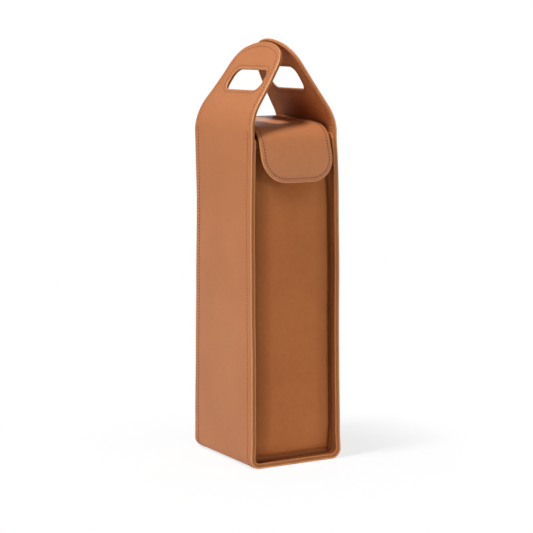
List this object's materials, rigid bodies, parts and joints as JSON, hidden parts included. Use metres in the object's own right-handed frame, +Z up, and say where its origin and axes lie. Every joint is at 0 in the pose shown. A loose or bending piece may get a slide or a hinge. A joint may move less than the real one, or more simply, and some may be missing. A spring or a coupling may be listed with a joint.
{
  "type": "bottle carrier",
  "caption": "Tall leather carrier for one bottle, with a strap that runs on into two handles and a snap flap.",
  "frame": {"origin": "middle of the base on the surface it stands on", "axes": "+Z up along the height, front panel and tongue towards -Y, left strap at -X"},
  "size_m": [0.1, 0.1295, 0.4212],
  "materials": {
    "outer_leather": "fine grained tan leather, low sheen",
    "lining_leather": "smooth light brown lining leather",
    "handle_lining_leather": "fine grained tan leather on the inner side of strap and handles",
    "board": "plain grey-brown bonded leather board",
    "snap_metal": "plain plated metal"
  },
  "bodies": {
    "case": {"outer_strap": "outer_leather", "inner_strap": "lining_leather", "left_side_board": "board", "right_side_board": "board", "base_board": "board", "base_insert": "board", "front_panel": "outer_leather", "back_panel": "outer_leather", "front_lining": "lining_leather", "back_lining": "lining_leather", "front_top_binding": "outer_leather", "snap_socket": "snap_metal", "socket_washer": "snap_metal"},
    "flap": {"flap_outer": "outer_leather", "flap_lining": "lining_leather"},
    "tongue": {"tongue_outer": "outer_leather", "tongue_lining": "lining_leather", "snap_stud": "snap_metal", "stud_washer": "snap_metal"},
    "left_handle": {"left_handle_outer": "outer_leather", "left_handle_core": "board", "left_handle_lining": "handle_lining_leather"},
    "right_handle": {"right_handle_outer": "outer_leather", "right_handle_core": "board", "right_handle_lining": "handle_lining_leather"}
  },
  "joints": [
    {"name": "flap_lift", "type": "hinge", "parent": "case", "child": "flap", "pos_m": [0, 0.048, 0.33], "axis": [-1, 0, 0], "range_deg": [0, 120]},
    {"name": "tongue_lift", "type": "hinge", "parent": "flap", "child": "tongue", "pos_m": [0, -0.03797, 0.345], "axis": [-1, 0, 0], "range_deg": [-12, 30]},
    {"name": "left_handle_spread", "type": "hinge", "parent": "case", "child": "left_handle", "pos_m": [-0.05, 0, 0.332], "axis": [0, -1, 0], "range_deg": [0, 90]},
    {"name": "right_handle_spread", "type": "hinge", "parent": "case", "child": "right_handle", "pos_m": [0.05, 0, 0.332], "axis": [0, 1, 0], "range_deg": [0, 90]}
  ],
  "couplings": [
    {"joint": "left_handle_spread", "follows": "flap_lift", "ratio": 0.75},
    {"joint": "right_handle_spread", "follows": "flap_lift", "ratio": 0.75}
  ]
}
